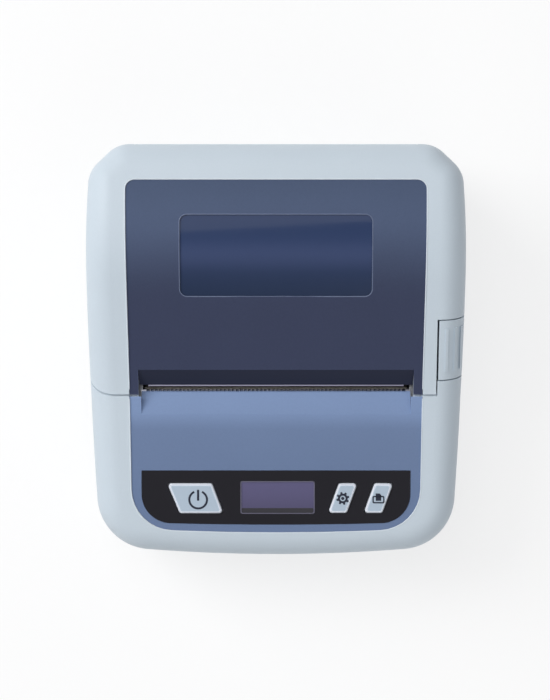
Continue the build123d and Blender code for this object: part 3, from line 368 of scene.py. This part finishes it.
leg_tree, given, result = tree_sockets(
    "Chip legs",
    [
        ("Legs", "NodeSocketInt"),
        ("Pitch", "NodeSocketFloat"),
        ("Leg Size", "NodeSocketVector"),
        ("Material", "NodeSocketMaterial"),
    ],
)
leg_line = leg_tree.nodes.new("GeometryNodeMeshLine")
leg_step = leg_tree.nodes.new("ShaderNodeCombineXYZ")
leg_cube = leg_tree.nodes.new("GeometryNodeMeshCube")
leg_copies = leg_tree.nodes.new("GeometryNodeInstanceOnPoints")
leg_tree.links.new(given["Legs"], leg_line.inputs["Count"])
leg_tree.links.new(given["Pitch"], leg_step.inputs["X"])
leg_tree.links.new(leg_step.outputs["Vector"], leg_line.inputs["Offset"])
leg_tree.links.new(given["Leg Size"], leg_cube.inputs["Size"])
leg_tree.links.new(leg_line.outputs["Mesh"], leg_copies.inputs["Points"])
leg_tree.links.new(leg_cube.outputs["Mesh"], leg_copies.inputs["Instance"])
close_tree(leg_tree, leg_copies.outputs["Instances"], given["Material"], result)

board_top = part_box("main_board")[1][2]
leg_pitch = 0.001
leg_size = (0.0004, 0.0009, 0.0003)
leg_rows = bmesh.new()
for chip_x, chip_y, chip_half, legs in ((-12, -37.45, 7.0, 12), (14, -39.45, 4.5, 7)):
    for side in (-1, 1):
        row = grown(leg_tree, {
            "Legs": legs,
            "Pitch": leg_pitch,
            "Leg Size": leg_size,
            "Material": bright_steel,
        })
        row_x = (chip_x - (legs - 1) / 2) / 1000
        row_y = (chip_y + side * (chip_half + 0.4)) / 1000
        row.transform(Matrix.Translation(Vector((row_x, row_y, board_top + leg_size[2] / 2))))
        leg_rows.from_mesh(row)
leg_mesh = bpy.data.meshes.new("chip_legs")
leg_rows.to_mesh(leg_mesh)
leg_rows.free()
piece("chip_legs", leg_mesh, bright_steel, "base")

# Paper bay. The bucket, the roll guides and the sensor are one black moulding each, and low ribs
# round the bucket's floor keep the paper roll from sticking to it. The guide's gear is nylon.

bay_black = moulded("Black bay moulding", screen(44, 46, 54), 0.48, grain=1600.0, cloud=0.1, painted_edge_highlight=0.35)
dress(bay_black, "paper_bucket", "guide_left", "guide_right", "paper_sensor")
nylon = moulded("White gear nylon", screen(222, 218, 206), 0.4, cloud=0.04, painted_edge_highlight=0.06)
dress(nylon, "guide_pinion", "idler_gear", "motor_pinion", "platen_gear", "platen_bushes")

rib_tree, given, result = tree_sockets(
    "Bay ribs",
    [
        ("Ribs", "NodeSocketInt"),
        ("Spacing", "NodeSocketFloat"),
        ("Bay Radius", "NodeSocketFloat"),
        ("Rib Width", "NodeSocketFloat"),
        ("Material", "NodeSocketMaterial"),
    ],
)
rib_arc = rib_tree.nodes.new("GeometryNodeCurveArc")
rib_arc.inputs["Resolution"].default_value = 64
rib_arc.inputs["Start Angle"].default_value = math.radians(192)
rib_arc.inputs["Sweep Angle"].default_value = math.radians(156)
rib_section = rib_tree.nodes.new("GeometryNodeCurvePrimitiveCircle")
rib_section.inputs["Resolution"].default_value = 10
rib_tube = rib_tree.nodes.new("GeometryNodeCurveToMesh")
rib_tube.inputs["Fill Caps"].default_value = True
rib_turn = rib_tree.nodes.new("GeometryNodeTransform")
rib_turn.inputs["Rotation"].default_value = (math.radians(90), 0, math.radians(90))
rib_line = rib_tree.nodes.new("GeometryNodeMeshLine")
rib_step = rib_tree.nodes.new("ShaderNodeCombineXYZ")
rib_copies = rib_tree.nodes.new("GeometryNodeInstanceOnPoints")
rib_tree.links.new(given["Bay Radius"], rib_arc.inputs["Radius"])
rib_tree.links.new(given["Rib Width"], rib_section.inputs["Radius"])
rib_tree.links.new(rib_arc.outputs["Curve"], rib_tube.inputs["Curve"])
rib_tree.links.new(rib_section.outputs["Curve"], rib_tube.inputs["Profile Curve"])
rib_tree.links.new(rib_tube.outputs["Mesh"], rib_turn.inputs["Geometry"])
rib_tree.links.new(given["Ribs"], rib_line.inputs["Count"])
rib_tree.links.new(given["Spacing"], rib_step.inputs["X"])
rib_tree.links.new(rib_step.outputs["Vector"], rib_line.inputs["Offset"])
rib_tree.links.new(rib_line.outputs["Mesh"], rib_copies.inputs["Points"])
rib_tree.links.new(rib_turn.outputs["Geometry"], rib_copies.inputs["Instance"])
close_tree(rib_tree, rib_copies.outputs["Instances"], given["Material"], result)

bay_middle = Vector((0, 0.02845, 0.0295))
bay_ribs = 5
bay_rib_spacing = 0.011
rib_mesh = grown(rib_tree, {
    "Ribs": bay_ribs,
    "Spacing": bay_rib_spacing,
    "Bay Radius": 0.0246,
    "Rib Width": 0.0005,
    "Material": bay_black,
})
rib_mesh.transform(Matrix.Translation(bay_middle - Vector((bay_rib_spacing * (bay_ribs - 1) / 2, 0, 0))))
piece("bay_ribs", rib_mesh, bay_black, "base")

# Print head. It is a glazed ceramic strip, glued to its heat sink and pressed to the roller by two springs;
# its brown heater line across the paper's width is not drawn.

head_glaze = moulded("Glazed head ceramic", screen(206, 200, 190), 0.18, grain=500.0, painted_edge_highlight=0.1)
dress(head_glaze, "print_head")

# Front deck, paper slot and cover panel. Matte slate-blue mouldings snapped into the pale case, with a fine
# even texture; the deck and the ramp that guides the paper out are a lighter blue. The cover panel's tone
# along Y is a painted sheen, lighter across its rear crown and darker down its front slope, and the ramp is
# lighter still than the deck as a painted highlight where it faces the light.

# Painted sheen: the panel's colour is lighter across the rear crown and darker down the front slope.
panel_painted_sheen_tones = (
    (-0.014, screen(60, 66, 90)),
    (0.014, screen(60, 66, 90)),
    (0.024, screen(62, 70, 94)),
    (0.038, screen(84, 97, 125)),
    (0.052, screen(74, 86, 111)),
)
panel_skin = moulded(
    "Slate cover panel", panel_painted_sheen_tones, 0.6, 1500.0, 0.00005, cloud=0.12, painted_edge_highlight=0.4, shine=0.1
)
dress(panel_skin, "cover_panel")
lip_skin = moulded("Dark slot lip", screen(44, 48, 66), 0.35, cloud=0.06, painted_edge_highlight=0.3, shine=0.15)
dress(lip_skin, "cover_lip", "cover_liner")
# Painted highlight: the last two stops make the ramp lighter than the deck where it faces the light.
deck_tones_with_painted_ramp_highlight = (
    (-0.057, screen(107, 125, 158)),
    (-0.024, screen(107, 125, 158)),
    (-0.0195, screen(127, 148, 185)),
    (-0.012, screen(130, 151, 189)),
)
deck_skin = moulded(
    "Slate front deck", deck_tones_with_painted_ramp_highlight, 0.55, 1500.0, 0.00004, cloud=0.08, painted_edge_highlight=0.2, shine=0.15
)
dress(deck_skin, "front_deck")
strip_satin = metal("Satin slot strip", screen(150, 148, 166), 0.45, streak=0.1)
dress(strip_satin, "cover_edge_strip")


def cad_surface(*nodes):
    """What CAD nodes show from above, to set a thin piece down on."""
    corners, faces = [], []
    for node in nodes:
        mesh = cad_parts[node].data
        base = len(corners)
        corners += [vertex.co.copy() for vertex in mesh.vertices]
        faces += [[base + index for index in face.vertices] for face in mesh.polygons]
    return BVHTree.FromPolygons(corners, faces)


def height_at(surface, x, y):
    """The height of a surface under a place in plan, in metres."""
    above = Vector((x, y, 2 * cad_box[1][2]))
    return surface.ray_cast(above, Vector((0, 0, -1)))[0].z


def rounded(corners, radii, steps=8):
    """An outline with its corners rounded; a radius of 0 leaves the corner."""
    outline = []
    for index, (corner, radius) in enumerate(zip(corners, radii)):
        here = Vector(corner)
        before = (Vector(corners[index - 1]) - here).normalized()
        after = (Vector(corners[(index + 1) % len(corners)]) - here).normalized()
        if not radius:
            outline.append(here)
            continue
        half = before.angle(after) / 2
        middle = here + (before + after).normalized() * radius / math.sin(half)
        first = here + before * radius / math.tan(half) - middle
        turn = first.angle_signed(here + after * radius / math.tan(half) - middle)
        for step in range(steps + 1):
            angle = -turn * step / steps
            spot = Vector((
                first.x * math.cos(angle) - first.y * math.sin(angle),
                first.x * math.sin(angle) + first.y * math.cos(angle),
            ))
            outline.append(middle + spot)
    return outline


def dense(outline, gap):
    """A closed outline with points no further apart than gap."""
    points = []
    for here, there in zip(outline, outline[1:] + outline[:1]):
        count = max(1, math.ceil((there - here).length / gap))
        points += [here.lerp(there, step / count) for step in range(count)]
    return points


def bead(name, points, radius, closed, material, body):
    """A thin round bead along points in metres."""
    curve = bpy.data.curves.new(name, "CURVE")
    curve.dimensions = "3D"
    curve.bevel_depth = radius
    curve.bevel_resolution = 2
    curve.use_fill_caps = True
    spline = curve.splines.new("POLY")
    spline.points.add(len(points) - 1)
    for point, spot in zip(spline.points, points):
        point.co = (*spot, 1.0)
    spline.use_cyclic_u = closed
    host = bpy.data.objects.new(name, curve)
    bpy.context.scene.collection.objects.link(host)
    mesh = bpy.data.meshes.new_from_object(host.evaluated_get(bpy.context.evaluated_depsgraph_get()))
    bpy.data.objects.remove(host)
    for face in mesh.polygons:
        face.use_smooth = True
    return piece(name, mesh, material, body)


def run_of(points, keep):
    """The one unbroken run of points of a closed outline that keep accepts."""
    start = next(i for i, point in enumerate(points) if keep(point) and not keep(points[i - 1]))
    ordered = points[start:] + points[:start]
    return [point for point in ordered if keep(point)]


rim_front = [(x / 1000, (-54.85 - 1.3 * (1 - (x / 44.6) ** 2)) / 1000) for x in (-30, -15, 0, 15, 30)]
rim_corners = [(0.0446, -0.05485), (0.0457, 0.05205), (-0.0457, 0.05205), (-0.0446, -0.05485), *rim_front]
rim_outline = dense(rounded(rim_corners, [0.013, 0.003, 0.003, 0.013, 0, 0, 0, 0, 0]), 0.0015)
# The rim beads stand in for the highlight along the case's rounded edge round the panel: thin beads coloured
# lighter than the case, a painted highlight.
rim_painted_highlight_plastic = moulded("Pale rim plastic", screen(214, 223, 231), 0.3, painted_edge_highlight=0.0, cloud=0.02)
case_top = cad_surface("cover_shell", "middle_case")
slot_line = -0.01355
for name, body, keep in (
    ("cover_panel_rim", "cover", lambda point: point.y > slot_line + 0.0006),
    ("deck_panel_rim", "base", lambda point: point.y < slot_line - 0.0006),
):
    rim_points = []
    for point in run_of(rim_outline, keep):
        outside = point * (1 + 0.0004 / point.length)
        rim_points.append((point.x, point.y, height_at(case_top, outside.x, outside.y) - 0.00008))
    bead(name, rim_points, 0.00022, False, rim_painted_highlight_plastic, body)

# Window over the paper. Glossy smoked navy plastic let into the cover panel, with a thin rim round it where
# the panel's edge turns down. Its tone along Y is a painted reflection, a lighter band across the middle and
# darker towards the front, and the rim is coloured lighter than the panel as a painted highlight.

# Painted reflection: the middle stop is a lighter band, and the front stop is darker.
window_painted_reflection_tones = (
    (0.0163, screen(40, 52, 77)),
    (0.024, screen(44, 57, 86)),
    (0.0292, screen(68, 80, 115)),
    (0.034, screen(47, 62, 96)),
    (0.0408, screen(46, 61, 95)),
)
window_skin = moulded(
    "Smoked window", window_painted_reflection_tones, 0.12, 300.0, 0.000004, cloud=0.03, painted_edge_highlight=0.1, coat=0.15, shine=0.1
)
dress(window_skin, "cover_window")
# Painted highlight: the rim bead is coloured lighter than the panel round the window's rounded border.
window_rim_painted_highlight = moulded("Window rim", screen(104, 115, 142), 0.3, cloud=0.02, painted_edge_highlight=0.0)
panel_top = cad_surface("cover_panel")
window_corners = [(0.0292, 0.01665), (0.0292, 0.04135), (-0.0292, 0.04135), (-0.0292, 0.01665)]
window_points = []
for point in dense(rounded(window_corners, [0.0023] * 4), 0.0015):
    outward = Vector((point.x, point.y - 0.029)).normalized() * 0.0006
    level = height_at(panel_top, point.x + outward.x, point.y + outward.y)
    window_points.append((point.x, point.y, level - 0.00006))
bead("window_rim", window_points, 0.00018, True, window_rim_painted_highlight, "cover")

# Control strip and display. The strip is a glossy black moulding let into the deck. The display
# looks through a clear face, with a printed band along its foot and a thin frame.

deck_slope = math.radians(6.4)
deck_middle = Vector((0, -0.04535, 0.042828))
deck_along = Vector((0, math.cos(deck_slope), math.sin(deck_slope)))
deck_up = Vector((0, -math.sin(deck_slope), math.cos(deck_slope)))


def on_deck(x, y, height):
    """A place on the sloping deck, from millimetres along it and above it."""
    return deck_middle + Vector((x, 0, 0)) / 1000 + deck_along * y / 1000 + deck_up * height / 1000


def slab(shape, outline, low, high):
    """A flat solid on the deck between two heights."""
    rows = [[shape.verts.new(on_deck(x, y, height)) for x, y in outline] for height in (low, high)]
    shape.faces.new(rows[1])
    shape.faces.new(rows[0][::-1])
    for index in range(len(outline)):
        after = (index + 1) % len(outline)
        shape.faces.new((rows[0][index], rows[0][after], rows[1][after], rows[1][index]))


def hoop(shape, outer, inner, low, high):
    """A flat ring on the deck between two outlines with as many points."""
    rows = [[shape.verts.new(on_deck(x, y, low)) for x, y in outer]]
    rows.append([shape.verts.new(on_deck(x, y, high)) for x, y in outer])
    rows.append([shape.verts.new(on_deck(x, y, high)) for x, y in inner])
    rows.append([shape.verts.new(on_deck(x, y, low)) for x, y in inner])
    for row in range(4):
        below, above = rows[row], rows[(row + 1) % 4]
        for index in range(len(outer)):
            after = (index + 1) % len(outer)
            shape.faces.new((below[index], below[after], above[after], above[index]))


def flat_mesh(name, shape):
    """The finished mesh of flat solids, with its faces pointing outwards."""
    bmesh.ops.recalc_face_normals(shape, faces=shape.faces)
    mesh = bpy.data.meshes.new(name)
    shape.to_mesh(mesh)
    shape.free()
    return mesh


def disc(x, y, radius, count=40):
    """A round outline."""
    return [
        (x + radius * math.cos(2 * math.pi * i / count), y + radius * math.sin(2 * math.pi * i / count))
        for i in range(count)
    ]


gloss_black = moulded(
    "Glossy black strip", screen(38, 37, 42), 0.18, 600.0, 0.000004, painted_edge_highlight=0.5, coat=0.12, shine=0.1
)
dress(gloss_black, "control_fascia")
lens_tones = (
    (-0.0501, screen(84, 80, 108)),
    (-0.045, screen(94, 90, 122)),
    (-0.040, screen(98, 94, 128)),
)
lens_skin = moulded(
    "Display face", lens_tones, 0.12, 400.0, 0.000003, cloud=0.03, painted_edge_highlight=0.2, coat=0.15, shine=0.15
)
dress(lens_skin, "display_lens")
band_tone = moulded("Display band", screen(62, 61, 66), 0.2, cloud=0.04, painted_edge_highlight=0.2, shine=0.15)
band = bmesh.new()
band_corners = [(-10.6, -4.6), (11.6, -4.6), (11.6, -3.1), (-10.6, -3.1)]
slab(band, rounded(band_corners, [0.3] * 4), -0.32, -0.24)
piece("display_band", flat_mesh("display_band", band), band_tone, "base", 0.00003)
frame_tone = moulded("Display frame", screen(104, 102, 120), 0.3, cloud=0.04, painted_edge_highlight=0.1, shine=0.15)
display_frame = bmesh.new()
frame_outer = rounded([(-10.95, -4.85), (11.95, -4.85), (11.95, 5.35), (-10.95, 5.35)], [0.7] * 4)
frame_inner = rounded([(-10.65, -4.6), (11.65, -4.6), (11.65, 5.05), (-10.65, 5.05)], [0.45] * 4)
hoop(display_frame, frame_outer, frame_inner, -0.3, -0.06)
piece("display_frame", flat_mesh("display_frame", display_frame), frame_tone, "base", 0.00004)

# Push buttons. Three slanted keys of satin pale plastic with a bevelled rim, a shallow face plate and a
# printed sign: on and off, settings, and paper feed. The key bodies are coloured lighter than the face
# plates, a painted highlight on the bevelled rim.

# Painted highlight: the key bodies get a lighter colour than the face plates, for the light on the bevelled
# rim.
key_rim_painted_highlight = moulded("Pale key rim", screen(222, 227, 237), 0.3, cloud=0.02, painted_edge_highlight=0.05)
dress(key_rim_painted_highlight, "power_button", "settings_button", "feed_button")
key_face = moulded("Key face", screen(178, 193, 208), 0.34, grain=1800.0, cloud=0.05, painted_edge_highlight=0.25)
sign_ink = moulded("Navy sign ink", screen(34, 38, 56), 0.4, cloud=0.05, painted_edge_highlight=0.1)
key_top = 0.55
key_slant = {
    "power_button": ("power_key", [(-33.5, 4.7), (-19.7, 4.7), (-16.3, -4.6), (-29.7, -4.6)]),
    "settings_button": ("settings_key", [(19.4, 4.7), (25.1, 4.7), (21.8, -4.5), (16.1, -4.5)]),
    "feed_button": ("feed_key", [(30.4, 4.7), (36.1, 4.7), (32.8, -4.5), (27.1, -4.5)]),
}


def drawn_in(corners, inset):
    """A convex outline drawn in evenly."""
    lines = []
    middle = sum((Vector(corner) for corner in corners), Vector((0, 0))) / len(corners)
    for here, there in zip(corners, corners[1:] + corners[:1]):
        here, there = Vector(here), Vector(there)
        across = Vector((there.y - here.y, here.x - there.x)).normalized()
        across = across if across.dot(middle - here) > 0 else -across
        lines.append((here + across * inset, there - here))
    shrunk = []
    for (start, way), (other, other_way) in zip(lines[-1:] + lines[:-1], lines):
        cross = way.x * other_way.y - way.y * other_way.x
        gap = other - start
        shrunk.append(start + way * (gap.x * other_way.y - gap.y * other_way.x) / cross)
    return shrunk


for node, (body, corners) in key_slant.items():
    face = bmesh.new()
    slab(face, rounded(drawn_in(corners, 0.62), [0.55] * 4), key_top - 0.05, key_top + 0.05)
    piece(node + "_face", flat_mesh(node + "_face", face), key_face, body, 0.00004)

sign_low = key_top + 0.03
sign_high = key_top + 0.09
power_x, power_y = -24.0, -0.3
power_sign = bmesh.new()
open_ring = []
for radius, order in ((3.05, 1), (2.4, -1)):
    sweep = [math.radians(90 + 26 + step * (360 - 52) / 48) for step in range(49)][::order]
    open_ring += [(power_x + radius * math.cos(a), power_y + radius * math.sin(a)) for a in sweep]
slab(power_sign, open_ring, sign_low, sign_high)
power_bar = ((-0.34, -0.3), (0.34, -0.3), (0.34, 3.1), (-0.34, 3.1))
slab(power_sign, [(power_x + x, power_y + y) for x, y in power_bar], sign_low, sign_high)
piece("power_sign", flat_mesh("power_sign", power_sign), sign_ink, "power_key")

cog_x, cog_y = 20.6, 0.1
cog_teeth = 8
cog_steps = cog_teeth * 6
cog_hole = 0.86
cog_sign = bmesh.new()
cog_outer, cog_inner = [], []
for step in range(cog_steps):
    angle = 2 * math.pi * step / cog_steps
    reach = 2.02 if step % 6 in (1, 2, 3) else 1.5
    cog_outer.append((cog_x + reach * math.cos(angle), cog_y + reach * math.sin(angle)))
    cog_inner.append((cog_x + cog_hole * math.cos(angle), cog_y + cog_hole * math.sin(angle)))
hoop(cog_sign, cog_outer, cog_inner, sign_low, sign_high)
slab(cog_sign, disc(cog_x, cog_y, 0.5, 24), sign_low, sign_high)
piece("settings_sign", flat_mesh("settings_sign", cog_sign), sign_ink, "settings_key")

feed_x, feed_y = 31.6, -0.1
feed_sign = bmesh.new()
tray = [(-1.85, -1.35), (1.85, -1.35), (1.85, 1.0), (-1.85, 1.0)]
tray_outer = [(feed_x + p.x, feed_y + p.y) for p in rounded(tray, [0.5] * 4)]
tray_inner = [(feed_x + p.x, feed_y + p.y) for p in rounded(drawn_in(tray, 0.42), [0.2] * 4)]
hoop(feed_sign, tray_outer, tray_inner, sign_low, sign_high)
page = [(-0.85, -0.55), (0.85, -0.55), (0.85, 1.2), (0.35, 1.75), (-0.85, 1.75)]
slab(feed_sign, [(feed_x + x, feed_y + y) for x, y in page], sign_low, sign_high)
piece("feed_sign", flat_mesh("feed_sign", feed_sign), sign_ink, "feed_key")

# Platen roller. Black rubber is moulded on a steel shaft and ground true, which leaves fine rings
# round it. The cover carries it, and it presses the paper to the print head.

ground_rubber = moulded(
    "Ground roller rubber", screen(40, 40, 44), 0.6, grain=1400.0, cloud=0.15, painted_edge_highlight=0.3
)
ground_tree = ground_rubber.node_tree
rings = ground_tree.nodes.new("ShaderNodeTexWave")
rings.bands_direction = "X"
rings.inputs["Scale"].default_value = 900.0
rings.inputs["Distortion"].default_value = 0.4
ring_bump = ground_tree.nodes.new("ShaderNodeBump")
ring_bump.inputs["Distance"].default_value = 0.00001
ground_tree.links.new(ground_tree.nodes.new("ShaderNodeTexCoord").outputs["Object"], rings.inputs["Vector"])
ground_tree.links.new(rings.outputs["Color"], ring_bump.inputs["Height"])
ground_tree.links.new(ring_bump.outputs["Normal"], ground_tree.nodes["Principled BSDF"].inputs["Normal"])
dress(ground_rubber, "platen_roller")

# Table top, lights and camera, which aren't part of the printer. The table is pale paint that shows
# near white and keeps a soft shadow, the camera looks straight down, and the main light comes from
# the rear left.

table_mesh = bpy.data.meshes.new("table_top")
table_mesh.from_pydata([(-2, -2, 0), (2, -2, 0), (2, 2, 0), (-2, 2, 0)], [], [(0, 1, 2, 3)])
table_top = bpy.data.objects.new("table_top", table_mesh)
bpy.context.scene.collection.objects.link(table_top)
table_whiteness = 0.72
table_paint = moulded(
    "Pale table", screen(250, 250, 250), 0.9, grain=300.0, cloud=0.01, painted_edge_highlight=0.0, shine=0.0
)
table_tree = table_paint.node_tree
glow = table_tree.nodes.new("ShaderNodeEmission")
glow.inputs["Color"].default_value = (1.0, 1.0, 1.0, 1.0)
seen_table = table_tree.nodes.new("ShaderNodeMixShader")
rays = table_tree.nodes.new("ShaderNodeLightPath")
direct = calc(table_tree, "MAXIMUM", rays.outputs["Is Camera Ray"], rays.outputs["Is Glossy Ray"])
direct = calc(table_tree, "MAXIMUM", direct, rays.outputs["Is Transmission Ray"])
table_tree.links.new(calc(table_tree, "MULTIPLY", direct, table_whiteness), seen_table.inputs["Fac"])
table_tree.links.new(table_tree.nodes["Principled BSDF"].outputs[0], seen_table.inputs[1])
table_tree.links.new(glow.outputs[0], seen_table.inputs[2])
table_tree.links.new(seen_table.outputs[0], table_tree.nodes["Material Output"].inputs["Surface"])
table_mesh.materials.append(table_paint)

for name, spot, size, power in (
    ("key_light", (-0.95, 0.5, 0.95), 0.8, 11.5),
    ("fill_light", (0.35, -0.85, 0.9), 0.9, 2.6),
    ("top_light", (-0.35, 0.45, 1.5), 1.0, 6.0),
):
    lamp = bpy.data.lights.new(name, "AREA")
    lamp.size = size
    lamp.energy = power
    light = bpy.data.objects.new(name, lamp)
    light.location = spot
    light.rotation_euler = (Vector((0, 0, 0.03)) - Vector(spot)).to_track_quat("-Z", "Y").to_euler()
    bpy.context.scene.collection.objects.link(light)

world = bpy.data.worlds.new("Studio")
world.use_nodes = True
world.node_tree.nodes["Background"].inputs["Color"].default_value = (0.95, 0.97, 1.0, 1.0)
world.node_tree.nodes["Background"].inputs["Strength"].default_value = 0.33
bpy.context.scene.world = world

camera_data = bpy.data.cameras.new("camera")
camera_data.sensor_fit = "VERTICAL"
camera_data.sensor_height = 36.0
camera_data.lens = 100.5
camera = bpy.data.objects.new("camera", camera_data)
camera.location = (-0.0003, 0.00045, 0.646)
bpy.context.scene.collection.objects.link(camera)
bpy.context.scene.camera = camera
bpy.context.scene.view_settings.view_transform = "Standard"
